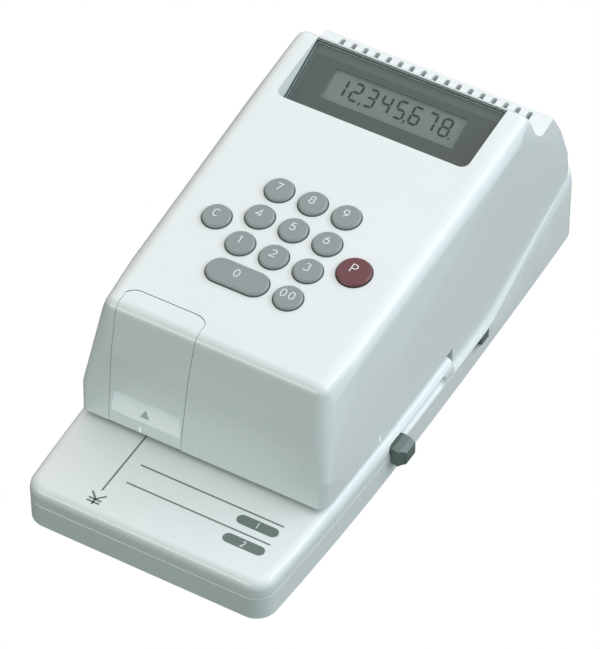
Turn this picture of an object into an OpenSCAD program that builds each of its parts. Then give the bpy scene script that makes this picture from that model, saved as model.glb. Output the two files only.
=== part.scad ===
// Desk check writer: a flat paper table at the front, an overhanging head with
// a sloping keypad and a sunk display, and the print unit inside the head.
// X runs to the right, Y to the back, Z up; the feet stand on Z = 0 and the
// origin is under the middle of the box round the machine and its lever.

/* [Casing] */
// Length of the casing from front to back
body_l = 283; // [278:1:292]
// Greatest width of the casing
body_w = 131; // [129:0.5:136]
// How much narrower each side is at the front end than at its widest
front_taper = 4.5; // [3:0.5:6]
// How much narrower each side is at the back end
rear_taper = 2.5; // [1.5:0.5:4]
// Radius of the upright corners of the casing
corner_r = 10; // [8:0.5:13]
// Wall thickness of all mouldings
wall = 2.5; // [2.2:0.1:2.8]
// Height of the rubber feet
foot_h = 1.5; // [1:0.1:2.5]
// Bevel along the lower edge of the bottom tub
base_bevel = 2; // [1:0.5:3]
// Height of the parting line between bottom tub and top mouldings
parting_z = 16.4; // [16:0.1:17]
// How far the head stands in from the side of the bottom tub
side_ledge = 2.2; // [1.6:0.1:2.4]

/* [Paper table and throat] */
// Height of the table top
table_z = 25.5; // [25:0.1:26]
// Rounding of the table edge
table_edge = 5; // [3:0.5:6]
// Height of the gap that takes the paper
throat_gap = 3; // [2.8:0.1:3.4]
// Where the throat ends at the back
throat_end = 163; // [161:0.5:165]

/* [Head] */
// Distance of the front foot of the head from the front edge
head_y = 49; // [48:0.5:51]
// Rounding of the long upper edges of the head
head_r = 9; // [7:0.5:10]
// Rounding of the upper front edge of the head
edge_r = 6.2; // [5:0.1:7]
// Slope of the keypad face in degrees
key_slope = 6.3; // [5.8:0.1:6.8]
// Height of the keypad face at the lowest key row
key_z = 93.2; // [92.4:0.2:94.4]
// Distance of the lowest key row from the front edge
key_y = 98.4; // [96:0.2:100]
// Height of the crest behind the display
crest_z = 108; // [106:0.5:110]
// Distance of the crest from the front edge
crest_y = 236; // [235:0.5:238]
// Height of the low deck behind the crest
deck_z = 87.6; // [86:0.2:89]

/* [Keys] */
// Centre distance of neighbouring keys
key_pitch = 17; // [16.5:0.1:17.6]
// How far the middle key column stands to the side of the middle
key_x = -1; // [-1.4:0.1:0]
// Diameter of a round key
key_d = 13.2; // [12:0.2:14]
// Diameter of the print key
print_d = 15.8; // [14.5:0.1:16.6]
// Gap all round between a key and its hole
key_gap = 0.35; // [0.25:0.05:0.5]
// How far the keys stand proud
key_rise = 1.6; // [1.2:0.1:2.2]
// Travel of a key
key_travel = 1.2; // [0.8:0.1:1.3]

/* [Display] */
// Half width of the display recess
recess_w = 48.7; // [46:0.1:50]
// Front rim of the display recess
recess_y = 197.2; // [196:0.2:199]
// Tilt of the display window in degrees
window_tilt = 20.5; // [19:0.5:21]
// Thickness of the display window
window_t = 2; // [1.5:0.1:2.2]
// Half width of the visible glass
lcd_w = 34; // [30:0.5:36]

/* [Vents] */
// Number of vent slots
vent_n = 17; // [9:1:19]
// Distance from the first to the last vent slot
vent_span = 97.2; // [90:0.2:100]
// Width of one vent slot
vent_w = 2.5; // [1.6:0.1:3]

/* [Ink door] */
// Left edge of the door at its foot
door_x0 = -46.8; // [-47.4:0.1:-46]
// Right edge of the door at its foot
door_x1 = -10.2; // [-11:0.1:-9.6]
// How much wider the door is at its top on each side
door_flare = 1.6; // [0:0.1:1.8]
// Gap round the door
door_gap = 0.3; // [0.2:0.05:0.5]
// Rounding of the upper corners of the door
door_cr = 6; // [4:0.5:7]

/* [Print unit] */
// Outer radius of the type wheel
wheel_r = 14; // [13:0.1:14]
// Where the printing line lies behind the front edge
wheel_y = 80; // [79:0.2:81]
// Where the printing line lies to the side
wheel_x = -29; // [-30:0.2:-28]
// Radius of the ink roller
ink_r = 7; // [6:0.1:7.5]
// Radial running clearance of every shaft
run_gap = 0.06; // [0.03:0.01:0.09]
// Radius of the feed roller under the table
feed_r = 9; // [8.6:0.1:9.2]
// Where the feed roller lies to the side
feed_x = 17; // [14:0.5:19]

/* [Paper stop] */
// Travel of the paper stop
stop_travel = 36; // [24:1:37]
// Front end of the stop channel
channel_y = 101; // [100:0.5:102]
// Length of the channel in the side of the table
channel_l = 52; // [52:0.5:54]
// Radius of the hollow of the channel
channel_r = 3.3; // [3:0.1:3.5]

/* [Power] */
// Length of one battery cell
cell_l = 50.5; // [49:0.1:50.6]
// Diameter of one battery cell
cell_d = 14.4; // [13.6:0.1:14.6]
// Number of battery cells side by side
cell_n = 4; // [2:1:4]
// Travel of the power switch knob
switch_travel = 8; // [5:0.5:8.5]

/* [Hidden] */
e = 0.01;
wm = body_w / 2;
ym = body_l * 0.44;
base_z = foot_h;
floor_z = foot_h + wall;
throat_z = table_z + throat_gap;
plate_t = 1.8;
rise_y = 198;
rise_lo = 36;
rise_hi = 42.5;
head_cr = corner_r * 0.56;
vent_end = crest_y + 22.8;
key_r = key_d / 2;
cap_d = -4.2;
board_w = -10;
board_t = 1.6;
door_ay = head_y + 18.5;
door_az = key_z - 7.6;
door_back = 5.3;
door_up = 4.8;
grip_z0 = 35;
grip_z1 = 46.5;
post_z = parting_z + 0.05;
wheel_z = throat_z + 0.7 + wheel_r;
ink_a = 128.6;
ink_c = wheel_r + ink_r + 0.05;
ink_y = wheel_y + ink_c * cos(ink_a);
ink_z = wheel_z + ink_c * sin(ink_a);
frame_xl = wheel_x - 21.5;
frame_xr = wheel_x + 22;
gear_m = 1;
gear_x = frame_xr - 6;
idler_y = wheel_y + 22.15 * cos(40);
idler_z = wheel_z + 22.15 * sin(40);
pin_y = idler_y + 15.15 * cos(-20);
pin_z = idler_z + 15.15 * sin(-20);
rod_y = 72;
rod_z = 71.5;
feed_z = table_z - 0.1 - feed_r;
press_r = 6;
press_z = table_z + press_r;
plat_y = 112;
plat_z = 15;
stop_y = channel_y + 10.5;
channel_z = 19.5;
channel_x = wm + 0.9;
grip_x = wm + 6.5;
side_shift = (wm - grip_x) / 2;
win_y = crest_y - 0.5;
win_z = crest_z - 0.6;
bat_x = 33;
bat_y0 = body_l - 78;
bat_y1 = body_l - 21;
back_y = body_l - 18;
sw_x = wm - 5.4;
cell_z = floor_z + 0.1 + cell_d / 2;
white = [0.91, 0.93, 0.92];
grey = [0.56, 0.60, 0.59];
dark = [0.30, 0.33, 0.32];
steel = [0.72, 0.73, 0.74];
green = [0.16, 0.38, 0.26];
rubber = [0.13, 0.13, 0.13];
maroon = [0.42, 0.23, 0.24];
brassy = [0.80, 0.68, 0.35];

// ---------- helpers ----------

// Everything is drawn with Y measured from the front edge, then centred.
module placed() {
    translate([side_shift, -body_l / 2, 0]) children();
}

// Half width of the casing at a distance y from the front.
function hw(y) = y < ym
    ? wm - front_taper * pow((ym - y) / ym, 2)
    : wm - rear_taper * pow((y - ym) / (body_l - ym), 2);

// Height of the inner edge of the rising rim.
function rim_z(y) = parting_z
    + (rise_hi - parting_z) * (y - rise_y) / (body_l + 1 - rise_y);

// Plan outline between y0 and y1, moved inwards by the amount in.
module plan(in = 0, y0 = 0, y1 = body_l, r = corner_r) {
    n = 10;
    s = (y1 - y0) / n;
    offset(r = r - min(in, r - 1), $fn = 48)
    offset(delta = -r - max(0, in - r + 1))
    polygon(concat(
        [for (i = [0 : n]) [hw(y0 + i * s), y0 + i * s]],
        [for (i = [n : -1 : 0]) [-hw(y0 + i * s), y0 + i * s]]));
}

// Outline of the head: the same, with tighter corners.
module head_plan(in) {
    plan(in, head_y - side_ledge, body_l, head_cr);
}

// A profile of [y, z] points drawn out along X from x0 to x1.
module side_prism(pts, x0, x1) {
    translate([x0, 0, 0])
        rotate([90, 0, 90])
            linear_extrude(x1 - x0) polygon(pts);
}

// A round bar along X and one along Y.
module bar_x(x0, x1, y, z, r) {
    translate([x0, y, z]) rotate([0, 90, 0]) cylinder(h = x1 - x0, r = r, $fn = 64);
}

module bar_y(x, y0, y1, z, r) {
    translate([x, y0, z]) rotate([-90, 0, 0]) cylinder(h = y1 - y0, r = r, $fn = 64);
}

// A plain block between two corners.
module block(a, b) {
    translate(a) cube(b - a);
}

module round_rect(x0, x1, y0, y1, r) {
    translate([x0 + r, y0 + r])
        offset(r = r, $fn = 32) square([x1 - x0 - 2 * r, y1 - y0 - 2 * r]);
}

// Gear outline with n teeth of module m.
module gear2d(n, m, bore, turn = 0) {
    r = n * m / 2;
    a = 360 / n;
    difference() {
        rotate(turn) polygon([for (i = [0 : n - 1]) each [
            (r - 1.15 * m) * [cos(a * (i - 0.30)), sin(a * (i - 0.30))],
            r * [cos(a * (i - 0.20)), sin(a * (i - 0.20))],
            (r + 0.85 * m) * [cos(a * (i - 0.10)), sin(a * (i - 0.10))],
            (r + 0.85 * m) * [cos(a * (i + 0.10)), sin(a * (i + 0.10))],
            r * [cos(a * (i + 0.20)), sin(a * (i + 0.20))],
            (r - 1.15 * m) * [cos(a * (i + 0.30)), sin(a * (i + 0.30))]]]);
        circle(r = bore, $fn = 48);
    }
}

// Frames tied to the keypad face and to the display window.
module on_keys() {
    translate([0, key_y, key_z]) rotate([key_slope, 0, 0]) children();
}

module on_window() {
    translate([0, win_y, win_z]) rotate([window_tilt, 0, 0]) children();
}

// Key places in columns and rows from the middle of the lowest row.
key_at = [[0, 0], [1, 0], [-1, 1], [0, 1], [1, 1], [-1, 2], [0, 2], [1, 2],
    [-1, 3], [0, 3], [1, 3], [-2, 1.5], [2.08, 1.5]];

module key_pos(i) {
    translate([key_x + key_at[i][0] * key_pitch, key_at[i][1] * key_pitch, 0])
        children();
}

// Outline of key i, grown by g.
module key_shape(i, g = 0) {
    if (i == 0) {
        translate([-key_pitch, 0]) circle(r = key_r + g, $fn = 64);
        circle(r = key_r + g, $fn = 64);
        translate([-key_pitch, -key_r - g]) square([key_pitch, 2 * (key_r + g)]);
    } else {
        circle(r = (i == 12 ? print_d / 2 : key_r) + g, $fn = 64);
    }
}

// ---------- casing solids ----------

// Height of a sphere centre of radius r that just touches the keypad face.
function under_face(y, r) = key_z + (y - key_y) * tan(key_slope)
    - r / cos(key_slope);

// Sphere centres along one long upper edge: y, z, half width, radius trimmed.
function edge_line() = [
    [head_y + 6.1, 42.3, 62.6, head_r - 4],
    [head_y + 5.9 + 0.976 * head_r, 65 - 0.216 * head_r, 60.5, 0],
    [head_y + 10.1 + 0.966 * head_r, 80.5 - 0.26 * head_r, 58.5, 0],
    [head_y + 12.6 + 0.79 * edge_r,
        under_face(head_y + 12.6 + 0.79 * edge_r, edge_r), 56.6, head_r - edge_r],
    [90, under_face(90, head_r), 59.2, 0],
    [150, under_face(150, head_r), 60, 0],
    [197, under_face(197, head_r), 60.9, 0],
    [226, under_face(226, head_r), 60.9, 0],
    [crest_y - 1.5, crest_z - 5, 59.4, head_r - 5],
    [body_l - 22, deck_z - 1.6, 59.4, head_r - 1.5],
    [body_l - 16, 71, 60.4, head_r - 4.5],
    [body_l - 9.7, 54, 60.9, head_r - 4.5]];

module head_hull(in) {
    hull() {
        translate([0, 0, parting_z - 2])
            linear_extrude(0.1) head_plan(side_ledge + in);
        translate([0, 0, 30])
            linear_extrude(0.1) head_plan(side_ledge + 0.4 + in);
        for (p = edge_line())
            for (s = [-1, 1])
                translate([s * (p[2] + wm - 65.5 - head_r + p[3]), p[0], p[1]])
                    sphere(r = head_r - p[3] - in, $fn = in > 0 ? 20 : 32);
    }
}

// Space above the low deck, with the skin thickness t kept under it.
module deck_space(t) {
    side_prism([[crest_y + 2.4 - t, 130], [crest_y + 2.4 - t, 104 - t * 0.2],
        [crest_y + 4.4 - t * 0.9, 97.8 - t * 0.4],
        [crest_y + 6.6 - t * 0.85, 93 - t * 0.6],
        [crest_y + 9.4 - t * 0.6, 89.7 - t * 0.8],
        [crest_y + 12.5 - t * 0.3, deck_z + 0.4 - t],
        [crest_y + 17, deck_z - t], [320, deck_z - t], [320, 130]],
        -wm - 5, wm + 5);
}

// Region of the display recess above the plane at depth d, grown by g.
module recess_space(d, g, deep = 60) {
    intersection() {
        translate([0, 0, 40])
            linear_extrude(100)
                round_rect(-recess_w - g, recess_w + g, recess_y - g,
                    crest_y + 30, 4);
        on_window()
            translate([-100, -deep, -d]) cube([200, deep + 3 * d / 8, 60]);
    }
}

// Half outline of the barrel in which the back of the door turns: radius, x.
function barrel(x, turn, g) = [for (t = turn)
    [g + norm([door_up, max(0, door_back - door_cr * (1 - cos(t)))]),
        x + door_cr * sin(t)]];

// Region that belongs to the door, grown by g.
module door_zone(g) {
    xl = door_x0 - door_flare - g;
    xr = door_x1 + door_flare + g;
    intersection() {
        union() {
            block([-80, 20, throat_z - 8], [40, door_ay, 120]);
            translate([0, door_ay, door_az]) rotate([90, 0, 90])
                rotate_extrude($fn = 96)
                    polygon(concat([[0, xl]],
                        barrel(xl + door_cr, [-90 : 15 : 0], g),
                        barrel(xr - door_cr, [0 : 15 : 90], g), [[0, xr]]));
        }
        translate([0, 130, 0])
            rotate([90, 0, 0])
                linear_extrude(120)
                    polygon([[door_x0 - g, throat_z - 6],
                        [door_x1 + g, throat_z - 6],
                        [door_x1 + g, throat_z],
                        [door_x1 + g + door_flare, 90],
                        [door_x1 + g + door_flare, 130],
                        [door_x0 - g - door_flare, 130],
                        [door_x0 - g - door_flare, 90],
                        [door_x0 - g, throat_z]]);
    }
}

module case_screw_spots() {
    for (s = [-1, 1]) {
        translate([s * (hw(168) - 7.4), 168.5, 0]) children();
        translate([s * (hw(back_y) - 8.3), back_y, 0]) children();
    }
}

module table_screw_spots() {
    for (s = [-1, 1]) {
        translate([s * (wm - 15.5), 14, 0]) children();
        translate([s * (wm - 25.5), 155, 0]) children();
    }
}

module plate_screw_spots() {
    for (s = [-1, 1]) {
        translate([s * (hw(68) - 9.2), 68, 0]) children();
        translate([s * (hw(150) - 8.8), 150, 0]) children();
    }
}

foot_at = [[16.5 - wm, 26], [wm - 16.5, 26],
    [18.5 - wm, body_l - 33], [wm - 18.5, body_l - 33]];

// ---------- sub-parts ----------

module lower_case() {
    color(white) placed() difference() {
        union() {
            hull() {
                translate([0, 0, base_z]) linear_extrude(0.1) plan(base_bevel);
                translate([0, 0, base_z + base_bevel])
                    linear_extrude(parting_z - base_z - base_bevel) plan();
            }
            hull() {
                intersection() {
                    translate([0, 0, 5]) linear_extrude(60) plan();
                    side_prism([[rise_y, parting_z - 1], [rise_y, parting_z],
                        [body_l + 1, rise_lo], [body_l + 1, parting_z - 1]],
                        -100, 100);
                }
                intersection() {
                    translate([0, 0, 5]) linear_extrude(60) head_plan(side_ledge);
                    side_prism([[rise_y, parting_z - 1], [rise_y, parting_z],
                        [body_l + 1, rise_hi], [body_l + 1, parting_z - 1]],
                        -100, 100);
                }
            }
        }
        // hollow of the tub, deeper in from the sides where the rim rises
        translate([0, 0, floor_z]) linear_extrude(80) plan(wall, 0, rise_y);
        translate([0, 0, floor_z])
            linear_extrude(80) plan(side_ledge + wall, rise_y - 24, body_l);
        // battery opening
        block([-bat_x, bat_y0, -1], [bat_x, bat_y1, floor_z + 1]);
        // power switch window
        block([wm - 25, 178, 9.3], [wm + 15, 194, 15.2]);
        // power inlet
        bar_y(-38, body_l - 33, body_l + 17, 20, 4);
        // screw holes and foot seats
        case_screw_spots() {
            translate([0, 0, -1]) cylinder(h = 20, r = 1.7, $fn = 32);
            translate([0, 0, -1]) cylinder(h = 1 + base_z + 1.6, r = 3.4, $fn = 32);
        }
        table_screw_spots() {
            translate([0, 0, -1]) cylinder(h = 20, r = 1.7, $fn = 32);
            translate([0, 0, -1]) cylinder(h = 1 + base_z + 1.6, r = 3.4, $fn = 32);
        }
        for (p = foot_at)
            translate([p[0], p[1], base_z - 1])
                cylinder(h = 1.6, r = 6.5, $fn = 48);
    }
    color(white) placed() {
        // screw posts
        difference() {
            union() {
                case_screw_spots() translate([0, 0, base_z + 1.7])
                    cylinder(h = post_z - 0.1 - base_z - 1.7, r = 4, $fn = 32);
                table_screw_spots() translate([0, 0, base_z + 1.7])
                    cylinder(h = 11.9 - base_z - 1.7, r = 4, $fn = 32);
            }
            case_screw_spots()
                translate([0, 0, -1]) cylinder(h = 30, r = 1.7, $fn = 32);
            table_screw_spots()
                translate([0, 0, -1]) cylinder(h = 30, r = 1.7, $fn = 32);
        }
        // stiffening ribs across the floor
        for (y = [40, 134])
            block([7.5 - wm, y, floor_z - e], [wm - 7.5, y + 1.6, floor_z + 3]);
    }
}

module channel_cut() {
    y0 = channel_y + channel_r;
    y1 = channel_y + channel_l - channel_r;
    bar_y(channel_x, y0, y1, channel_z, channel_r);
    for (y = [y0, y1])
        translate([channel_x, y, channel_z]) sphere(r = channel_r, $fn = 48);
}

module paper_table() {
    color(white) placed() difference() {
        intersection() {
            hull() {
                translate([0, 0, parting_z + 0.05])
                    linear_extrude(table_z - table_edge - parting_z) plan();
                translate([0, 0, table_z - table_edge * 0.62])
                    linear_extrude(0.1) plan(table_edge * 0.08);
                translate([0, 0, table_z - table_edge * 0.28])
                    linear_extrude(0.1) plan(table_edge * 0.3);
                translate([0, 0, table_z - table_edge * 0.06])
                    linear_extrude(0.1) plan(table_edge * 0.66);
                translate([0, 0, table_z - 0.1])
                    linear_extrude(0.1) plan(table_edge);
            }
            block([-80, -1, 0], [80, throat_end - 3, 60]);
        }
        difference() {
            translate([0, 0, 0])
                linear_extrude(table_z - wall) plan(wall, 0, body_l);
            block([-80, throat_end - 3 - wall, 0], [80, 200, 60]);
            // solid rail behind the channel
            block([wm - 8, channel_y - 3, 0], [wm + 12, channel_y + channel_l + 0.5, 40]);
        }
        channel_cut();
        // slit for the stem of the lever and slots for the fingers
        block([wm - 12, channel_y + 4, channel_z - 0.9],
            [wm + 3, channel_y + 10.5 + stop_travel + 2.5, channel_z + 0.9]);
        for (x = [13.5 - wm, wm - 13.5])
            block([x - 1.3, stop_y - 0.5, 15],
                [x + 1.3, stop_y + 3.5 + stop_travel, 40]);
        // openings over the platen and the feed roller
        block([wheel_x - 6, wheel_y - 7, 10], [wheel_x + 6, wheel_y + 7, 40]);
        block([feed_x - 7.4, wheel_y - 8, 10], [feed_x + 7.4, wheel_y + 8, 40]);
    }
    color(white) placed() {
        difference() {
            table_screw_spots() translate([0, 0, 12])
                cylinder(h = table_z - 13, r = 4, $fn = 32);
            table_screw_spots()
                translate([0, 0, 11]) cylinder(h = 9, r = 1.3, $fn = 32);
        }
        // lip that closes the throat at the back
        block([-wm + 12, throat_end - 3 - wall, table_z - 1],
            [wm - 12, throat_end - 3, throat_z - 0.1]);
    }
}

module head_shell() {
    difference() {
        difference() {
            head_hull(0);
            deck_space(0);
        }
        difference() {
            head_hull(wall);
            deck_space(wall);
            recess_space(window_t + 2, wall);
        }
    }
}

module plate_posts() {
    z0 = throat_z + plate_t;
    plate_screw_spots() translate([0, 0, z0]) cylinder(h = 16, r = 3.4, $fn = 32);
    for (y = [68, 150]) {
        x = hw(y) - 9;
        block([x, y - 1, z0], [x + 8, y + 1, z0 + 16]);
        block([-x - 8, y - 1, z0], [-x, y + 1, z0 + 16]);
    }
}

module upper_case() {
    color(white) placed() difference() {
        union() {
            difference() {
                head_shell();
                recess_space(window_t, 0);
            }
            // bosses for the door pins
            bar_x(door_x0 - door_flare - 5, door_x0 - door_flare - 0.8,
                door_ay, door_az, 2.8);
            bar_x(door_x1 + door_flare + 0.8, door_x1 + door_flare + 5,
                door_ay, door_az, 2.8);
        }
        // everything under the throat and under the rising rim
        side_prism([[20, 0], [20, throat_z], [throat_end, throat_z],
            [throat_end, parting_z + 0.05], [rise_y, parting_z + 0.05],
            [body_l + 10, rim_z(body_l + 10) + 0.05],
            [body_l + 10, 0]], -100, 100);
        door_zone(door_gap);
        // pin holes
        bar_x(door_x0 - door_flare - 6, door_x1 + door_flare + 6,
            door_ay, door_az, 1.5 + run_gap);
        // see-through part of the display
        on_window() block([-lcd_w - 7, -30, -30], [lcd_w + 7, -5.5, 5]);
        on_keys() for (i = [0 : 12])
            key_pos(i) translate([0, 0, -12])
                linear_extrude(40) key_shape(i, key_gap);
        for (i = [0 : vent_n - 1]) {
            x = -vent_span / 2 + i * vent_span / (vent_n - 1);
            block([x - vent_w / 2, crest_y + 8.5, deck_z - 12],
                [x + vent_w / 2, vent_end, deck_z + 6]);
            translate([x, vent_end, deck_z - 12])
                cylinder(h = 18, r = vent_w / 2, $fn = 32);
        }
    }
    color(white) placed() {
        // screw posts on the side walls
        difference() {
            intersection() {
                case_screw_spots() translate([0, 0, post_z])
                    cylinder(h = 64 - post_z, r = 4, $fn = 32);
                translate([0, 0, 10]) linear_extrude(70)
                    plan(side_ledge + wall + 0.1, head_y, body_l);
            }
            case_screw_spots()
                translate([0, 0, post_z - 1]) cylinder(h = 14, r = 1.3, $fn = 32);
        }
        // screw posts of the throat plate, ribbed to the side walls
        difference() {
            intersection() {
                plate_posts();
                head_hull(1);
            }
            plate_screw_spots()
                translate([0, 0, 20]) cylinder(h = 18, r = 1.1, $fn = 32);
        }
        // posts that carry the key board
        on_keys() difference() {
            for (s = [-1, 1])
                for (u = [-15, 76])
                    translate([s * 45, u, board_w])
                        cylinder(h = -board_w - 1, r = 3, $fn = 32);
            for (s = [-1, 1])
                for (u = [-15, 76])
                    translate([s * 45, u, board_w - 1])
                        cylinder(h = 7, r = 1.1, $fn = 32);
        }
        // posts that carry the display board
        on_window() for (s = [-1, 1])
            for (u = [-27, -8])
                translate([s * (lcd_w + 10), u, -7.2])
                    cylinder(h = 4, r = 2, $fn = 32);
    }
}

module ink_door() {
    color(white) placed() difference() {
        union() {
            intersection() {
                difference() {
                    head_hull(0);
                    head_hull(wall);
                }
                difference() {
                    door_zone(0);
                    block([-80, 0, 0], [80, 90, throat_z + 0.3]);
                }
            }
            // thicker back behind the finger grip
            side_prism([[head_y + 2.2, grip_z0 - 3], [head_y + 4.6, grip_z1 + 4],
                [head_y + 7.4, grip_z1 + 4], [head_y + 7.4, grip_z1 - 2],
                [head_y + 3.9, grip_z0 - 3]], door_x0 + 0.6, door_x1 - 0.6);
            // hinge ears
            for (x = [door_x0 - door_flare + 0.3, door_x1 + door_flare - 3.3])
                bar_x(x, x + 3, door_ay, door_az, 3.4);
        }
        // sloping finger grip
        side_prism([[head_y - 5, grip_z0 - 0.4],
            [head_y + 0.95, grip_z0], [head_y + 5, grip_z1],
            [head_y - 5, grip_z1 + 0.2]], door_x0 + 0.7, door_x1 - 0.7);
        bar_x(door_x0 - 8, door_x1 + 8, door_ay, door_az, 1.5);
    }
}

module door_pins() {
    color(steel) placed() {
        bar_x(door_x0 - door_flare - 4.8, door_x0 - door_flare + 3.3,
            door_ay, door_az, 1.5);
        bar_x(door_x1 + door_flare - 3.3, door_x1 + door_flare + 4.8,
            door_ay, door_az, 1.5);
    }
}

module display_window() {
    color(dark) placed() intersection() {
        translate([0, 0, 40]) linear_extrude(100)
            round_rect(-recess_w + 0.1, recess_w - 0.1, recess_y + 0.1,
                crest_y + 30, 3.9);
        on_window()
            block([-80, -60, -window_t + 0.02], [80, -0.4, 0]);
    }
}

module lcd_bezel() {
    color(steel) placed() on_window() difference() {
        block([-lcd_w - 3.4, -29, -6.4], [lcd_w + 3.4, -7, -window_t - 0.2]);
        block([-lcd_w, -26, -7], [lcd_w, -9, 0]);
        block([-lcd_w - 2.4, -28, -7], [lcd_w + 2.4, -8, -window_t - 1]);
    }
}

module lcd_glass() {
    color([0.5, 0.55, 0.54]) placed() on_window()
        block([-lcd_w - 2.2, -27.8, -6.2], [lcd_w + 2.2, -8.2, -window_t - 1.2]);
}

module display_board() {
    color(green) placed() on_window() difference() {
        block([-lcd_w - 12.5, -30, -7.2 - board_t], [lcd_w + 12.5, -5, -7.2]);
        for (s = [-1, 1])
            translate([s * (lcd_w + 10), -17.5, -12])
                cylinder(h = 10, r = 1.2, $fn = 32);
    }
    color(green) placed() on_window()
        for (u = [-27.5, -9.8])
            block([-lcd_w, u, -7.2 - e], [lcd_w, u + 1.6, -6.25]);
}

module main_board() {
    color(green) placed() on_keys() difference() {
        translate([0, 0, board_w - board_t])
            linear_extrude(board_t) round_rect(-50, 50, -19, 80, 2);
        for (s = [-1, 1])
            for (u = [-15, 76])
                translate([s * 45, u, board_w - 5])
                    cylinder(h = 10, r = 1.2, $fn = 32);
    }
    color(dark) placed() on_keys() {
        // control chip, capacitors and the plug for the display lead
        block([-12, 60, board_w - board_t - 2.4], [14, 72, board_w - board_t + e]);
        block([22, 62, board_w - board_t - 5], [36, 67, board_w - board_t + e]);
        for (x = [-38, -26])
            translate([x, 66, board_w - board_t - 9])
                cylinder(h = 9 + e, r = 4, $fn = 48);
    }
}

module key_mat() {
    color([0.75, 0.76, 0.74]) placed() on_keys() difference() {
        union() {
            translate([0, 0, board_w])
                linear_extrude(1) round_rect(-44, 46, -11, 62, 2);
            for (i = [0 : 12])
                key_pos(i) translate([0, 0, board_w])
                    cylinder(h = cap_d - 1.35 - board_w, r = 4, $fn = 48);
            key_pos(0) translate([-key_pitch, 0, board_w])
                cylinder(h = cap_d - 1.35 - board_w, r = 4, $fn = 48);
        }
        for (i = [0 : 12])
            key_pos(i) translate([0, 0, board_w - 1])
                cylinder(h = 12, r = 2.5, $fn = 48);
        key_pos(0) translate([-key_pitch, 0, board_w - 1])
            cylinder(h = 12, r = 2.5, $fn = 48);
    }
}

// One key: flange, shaft, bevelled cap and the plunger under it.
module key_body(i) {
    lip = 0.9;
    translate([0, 0, cap_d]) linear_extrude(1.4) key_shape(i, lip);
    translate([0, 0, cap_d + 1.4 - e])
        linear_extrude(key_rise - 0.6 - cap_d - 1.4 + e) key_shape(i, 0);
    if (i == 0) {
        hull() for (x = [-key_pitch, 0])
            translate([x, 0, key_rise - 0.6])
                cylinder(h = 0.6, r1 = key_r, r2 = key_r - 0.7, $fn = 32);
        for (x = [-key_pitch, 0])
            translate([x, 0, cap_d - 4.2])
                cylinder(h = 4.3, r = 2.2, $fn = 48);
    } else {
        r = i == 12 ? print_d / 2 : key_r;
        translate([0, 0, key_rise - 0.6])
            cylinder(h = 0.6, r1 = r, r2 = r - 0.7, $fn = 96);
        translate([0, 0, cap_d - 4.2]) cylinder(h = 4.3, r = 2.2, $fn = 48);
    }
}

module key_node(i, c) {
    color(c) placed() on_keys() key_pos(i) key_body(i);
}

module key_0() { key_node(0, grey); }
module key_00() { key_node(1, grey); }
module key_1() { key_node(2, grey); }
module key_2() { key_node(3, grey); }
module key_3() { key_node(4, grey); }
module key_4() { key_node(5, grey); }
module key_5() { key_node(6, grey); }
module key_6() { key_node(7, grey); }
module key_7() { key_node(8, grey); }
module key_8() { key_node(9, grey); }
module key_9() { key_node(10, grey); }
module key_clear() { key_node(11, grey); }
module key_print() { key_node(12, maroon); }

module throat_plate() {
    color(steel) placed() difference() {
        translate([0, 0, throat_z + 0.05])
            linear_extrude(plate_t - 0.1)
                intersection() {
                    plan(side_ledge + 0.4 + wall + 0.35, head_y - side_ledge,
                        body_l);
                    translate([-80, head_y + wall + 0.9])
                        square([160, throat_end - head_y - wall - 0.6]);
                }
        block([wheel_x - 6, wheel_y - 13, 20], [wheel_x + 6, wheel_y + 13, 40]);
        block([feed_x - 7.4, wheel_y - 8, 20], [feed_x + 7.4, wheel_y + 8, 40]);
        block([feed_x - 2.2, wheel_y - 11.6, 20], [feed_x + 2.2, wheel_y + 11.6, 40]);
        block([gear_x - 3.2, wheel_y - 9, 20], [gear_x + 3.2, wheel_y + 9, 40]);
        plate_screw_spots() {
            translate([0, 0, 20]) cylinder(h = 20, r = 1.3, $fn = 32);
            translate([0, 0, 20])
                cylinder(h = throat_z + 1.2 - 20, r = 2.6, $fn = 32);
        }
    }
}

module frame_plate(x, flange) {
    z0 = throat_z + plate_t;
    difference() {
        union() {
            side_prism([[61, z0], [61, 56], [64, 74], [70, 77.5], [84, 77.5],
                [122, 70], [128, 62], [128, z0]], x - 0.75, x + 0.75);
            block([min(x, x + flange), 64, z0], [max(x, x + flange), 78, z0 + 1.5]);
            block([min(x, x + flange), 108, z0], [max(x, x + flange), 126, z0 + 1.5]);
        }
        bar_x(x - 5, x + 5, wheel_y, wheel_z, 2.5 + run_gap);
        bar_x(x - 5, x + 5, rod_y, rod_z, 1.5);
    }
}

module frame_left() {
    color(steel) placed() frame_plate(frame_xl, 7);
}

module frame_right() {
    color(steel) placed() {
        difference() {
            frame_plate(frame_xr, 7);
            bar_x(frame_xr - 5, frame_xr + 5, pin_y, pin_z, 2);
            bar_x(frame_xr - 5, frame_xr + 5, idler_y, idler_z, 1.9);
        }
        // riveted stud that carries the middle gear
        bar_x(frame_xr - 9.5, frame_xr + 0.75, idler_y, idler_z, 2);
    }
}

module wheel_shaft() {
    color(steel) placed()
        bar_x(frame_xl - 2, frame_xr + 2, wheel_y, wheel_z, 2.5);
}

module type_wheel() {
    color(dark) placed() translate([wheel_x, wheel_y, wheel_z]) rotate([0, 90, 0]) {
        difference() {
            translate([0, 0, -4]) cylinder(h = 8, r = wheel_r - 1.2, $fn = 96);
            translate([0, 0, -5]) cylinder(h = 10, r = 2.5, $fn = 48);
            for (k = [0 : 5])
                rotate(k * 60 + 30) translate([7.4, 0, -5])
                    cylinder(h = 10, r = 2, $fn = 32);
        }
        // raised type blocks round the rim
        for (k = [0 : 15])
            rotate(k * 22.5)
                translate([wheel_r - 1.6, -1.5, -2.5]) cube([1.5, 3, 5]);
    }
}

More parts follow.
